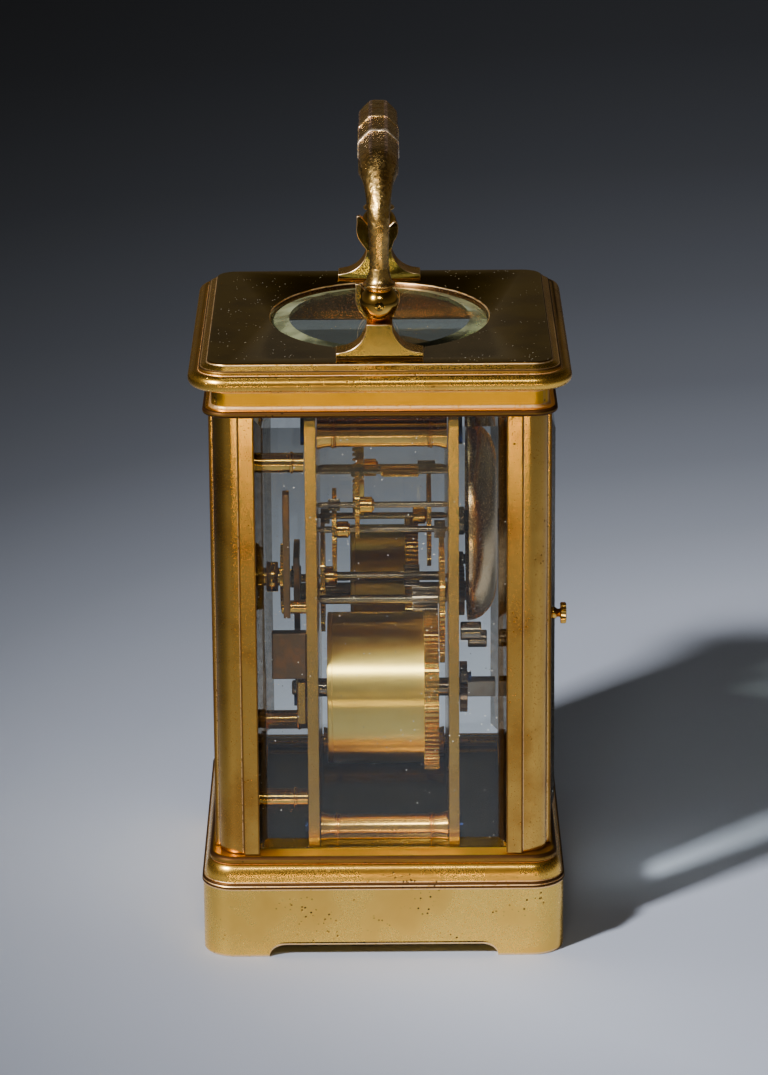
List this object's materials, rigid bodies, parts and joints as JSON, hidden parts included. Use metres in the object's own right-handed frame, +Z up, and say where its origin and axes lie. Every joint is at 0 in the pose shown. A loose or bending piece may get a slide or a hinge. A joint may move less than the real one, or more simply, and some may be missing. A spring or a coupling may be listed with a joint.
{
  "type": "carriage clock",
  "caption": "Glazed brass carriage clock with a folding handle, hinged back door, two-train striking movement and platform escapement.",
  "frame": {"origin": "centre of the base underside", "axes": "+Z up, -Y towards the dial and front glass, +Y towards the back door, +X to the right seen from the front"},
  "size_m": [0.0962, 0.0882, 0.1906],
  "materials": {
    "brass_case": "warm lacquered brass with brown patina in the recesses and small dark pits",
    "brass_handle": "darker aged brass with worn bright edges",
    "brass_plates": "yellow brass, polished, with a fine edge grain",
    "brass_wheels": "polished yellow brass",
    "steel": "polished steel",
    "dark_steel": "blued and browned steel",
    "bell_metal": "polished grey bell metal",
    "enamel": "white enamel with black numerals",
    "glass": "clear bevelled glass"
  },
  "bodies": {
    "case_and_frame": {"base_plinth": "brass_case", "cornice_top": "brass_case", "pillar_front_left": "brass_case", "pillar_back_left": "brass_case", "pillar_front_right": "brass_case", "pillar_back_right": "brass_case", "front_glass": "glass", "left_glass": "glass", "right_glass": "glass", "top_glass": "glass", "handle_bracket_right": "brass_case", "handle_bracket_left": "brass_case", "handle_pin_right": "brass_case", "handle_pin_left": "brass_case", "front_plate": "brass_plates", "back_plate": "brass_plates", "frame_pillar_top_left": "brass_plates", "frame_pillar_bottom_left": "brass_plates", "frame_pillar_top_right": "brass_plates", "frame_pillar_bottom_right": "brass_plates", "dial": "enamel", "dial_mask": "brass_plates", "barrel_bridge": "brass_plates", "bell": "bell_metal", "bell_stand": "steel", "platform": "brass_plates", "balance_cock": "brass_plates"},
    "handle": {"handle": "brass_handle"},
    "back_door": {"back_door_frame": "brass_case", "back_door_glass": "glass", "door_knob": "brass_case"},
    "centre_arbor": {"centre_arbor": "steel", "centre_wheel": "brass_wheels", "cannon_pinion": "steel", "minute_hand": "dark_steel"},
    "minute_wheel": {"minute_wheel": "brass_wheels"},
    "hour_wheel": {"hour_wheel": "brass_wheels", "hour_hand": "dark_steel"},
    "going_barrel": {"going_barrel": "brass_wheels", "going_mainspring": "dark_steel"},
    "third_arbor": {"third_arbor": "steel", "third_wheel": "brass_wheels"},
    "contrate_arbor": {"contrate_arbor": "steel", "contrate_wheel": "brass_wheels"},
    "escape_wheel": {"escape_wheel": "steel"},
    "going_winding_arbor": {"going_barrel_arbor": "steel"},
    "going_click": {"going_click": "steel"},
    "strike_barrel": {"strike_barrel": "brass_wheels", "strike_mainspring": "dark_steel"},
    "strike_winding_arbor": {"strike_barrel_arbor": "steel"},
    "strike_click": {"strike_click": "steel"},
    "strike_second_arbor": {"strike_second_arbor": "steel", "strike_second_wheel": "brass_wheels"},
    "strike_third_wheel": {"strike_third_wheel": "brass_wheels"},
    "warning_wheel": {"warning_wheel": "brass_wheels"},
    "fly": {"fly": "steel"},
    "hammer": {"hammer": "steel"},
    "strike_rack": {"strike_rack": "dark_steel"},
    "lever": {"lever": "steel"},
    "balance_wheel": {"balance_wheel": "brass_wheels"}
  },
  "joints": [
    {"name": "handle_fold", "type": "hinge", "parent": "case_and_frame", "child": "handle", "pos_m": [0, 0, 0.1572], "axis": [-1, 0, 0], "range_deg": [0, 90]},
    {"name": "back_door_hinge", "type": "hinge", "parent": "case_and_frame", "child": "back_door", "pos_m": [-0.0311, 0.0379, 0.078], "axis": [0, 0, 1], "range_deg": [0, 95]},
    {"name": "centre_arbor_turn", "type": "hinge", "parent": "case_and_frame", "child": "centre_arbor", "pos_m": [0, 0, 0.0797], "axis": [0, 1, 0], "continuous": true},
    {"name": "minute_wheel_turn", "type": "hinge", "parent": "case_and_frame", "child": "minute_wheel", "pos_m": [-0.00902, 0, 0.07642], "axis": [0, 1, 0], "continuous": true},
    {"name": "hour_wheel_turn", "type": "hinge", "parent": "case_and_frame", "child": "hour_wheel", "pos_m": [0, 0, 0.0797], "axis": [0, 1, 0], "continuous": true},
    {"name": "going_barrel_turn", "type": "hinge", "parent": "case_and_frame", "child": "going_barrel", "pos_m": [-0.0182, 0, 0.07], "axis": [0, 1, 0], "continuous": true},
    {"name": "third_arbor_turn", "type": "hinge", "parent": "case_and_frame", "child": "third_arbor", "pos_m": [-0.003, 0, 0.09399], "axis": [0, 1, 0], "continuous": true},
    {"name": "contrate_arbor_turn", "type": "hinge", "parent": "case_and_frame", "child": "contrate_arbor", "pos_m": [0, 0, 0.10695], "axis": [0, 1, 0], "continuous": true},
    {"name": "escape_wheel_turn", "type": "hinge", "parent": "case_and_frame", "child": "escape_wheel", "pos_m": [0, -0.00751, 0.125], "axis": [0, 0, 1], "continuous": true},
    {"name": "going_winding", "type": "hinge", "parent": "case_and_frame", "child": "going_winding_arbor", "pos_m": [-0.0182, 0, 0.07], "axis": [0, 1, 0], "continuous": true},
    {"name": "going_click_lift", "type": "hinge", "parent": "case_and_frame", "child": "going_click", "pos_m": [-0.0268, 0, 0.0754], "axis": [0, -1, 0], "range_deg": [0, 12], "stiffness_Nm_per_rad": 0.0002, "springref_deg": -17.19},
    {"name": "strike_second_turn", "type": "hinge", "parent": "case_and_frame", "child": "strike_second_arbor", "pos_m": [0.0174, 0, 0.0795], "axis": [0, 1, 0], "continuous": true},
    {"name": "strike_barrel_turn", "type": "hinge", "parent": "case_and_frame", "child": "strike_barrel", "pos_m": [0.0174, 0, 0.0575], "axis": [0, 1, 0], "continuous": true},
    {"name": "strike_third_turn", "type": "hinge", "parent": "case_and_frame", "child": "strike_third_wheel", "pos_m": [0.014, 0, 0.0958], "axis": [0, 1, 0], "continuous": true},
    {"name": "warning_wheel_turn", "type": "hinge", "parent": "case_and_frame", "child": "warning_wheel", "pos_m": [0.021, 0, 0.10402], "axis": [0, 1, 0], "continuous": true},
    {"name": "fly_turn", "type": "hinge", "parent": "case_and_frame", "child": "fly", "pos_m": [0.0155, 0, 0.11051], "axis": [0, 1, 0], "continuous": true},
    {"name": "strike_winding", "type": "hinge", "parent": "case_and_frame", "child": "strike_winding_arbor", "pos_m": [0.0174, 0, 0.0575], "axis": [0, 1, 0], "continuous": true},
    {"name": "strike_click_lift", "type": "hinge", "parent": "case_and_frame", "child": "strike_click", "pos_m": [0.026, 0, 0.0629], "axis": [0, 1, 0], "range_deg": [0, 12], "stiffness_Nm_per_rad": 0.0002, "springref_deg": -17.19},
    {"name": "hammer_swing", "type": "hinge", "parent": "case_and_frame", "child": "hammer", "pos_m": [0.028, 0, 0.075], "axis": [0, -1, 0], "range_deg": [0, 8], "stiffness_Nm_per_rad": 0.002, "springref_deg": -28.65},
    {"name": "rack_fall", "type": "hinge", "parent": "case_and_frame", "child": "strike_rack", "pos_m": [0.022, 0, 0.068], "axis": [0, 1, 0], "range_deg": [0, 8], "stiffness_Nm_per_rad": 0.001, "springref_deg": -28.65},
    {"name": "lever_rock", "type": "hinge", "parent": "case_and_frame", "child": "lever", "pos_m": [0, -0.0026, 0.131], "axis": [0, 0, 1], "range_deg": [-5, 5]},
    {"name": "balance_swing", "type": "hinge", "parent": "case_and_frame", "child": "balance_wheel", "pos_m": [0, 0.0044, 0.133], "axis": [0, 0, 1], "range_deg": [-135, 135], "stiffness_Nm_per_rad": 0.000006}
  ],
  "couplings": [
    {"joint": "minute_wheel_turn", "follows": "centre_arbor_turn", "ratio": -0.33333},
    {"joint": "hour_wheel_turn", "follows": "centre_arbor_turn", "ratio": 0.083333},
    {"joint": "going_barrel_turn", "follows": "centre_arbor_turn", "ratio": -0.13636},
    {"joint": "third_arbor_turn", "follows": "centre_arbor_turn", "ratio": -8},
    {"joint": "contrate_arbor_turn", "follows": "centre_arbor_turn", "ratio": 66.667},
    {"joint": "escape_wheel_turn", "follows": "centre_arbor_turn", "ratio": -600},
    {"joint": "strike_barrel_turn", "follows": "strike_second_turn", "ratio": -0.13636},
    {"joint": "strike_third_turn", "follows": "strike_second_turn", "ratio": -8},
    {"joint": "warning_wheel_turn", "follows": "strike_second_turn", "ratio": 64},
    {"joint": "fly_turn", "follows": "strike_second_turn", "ratio": -512}
  ]
}
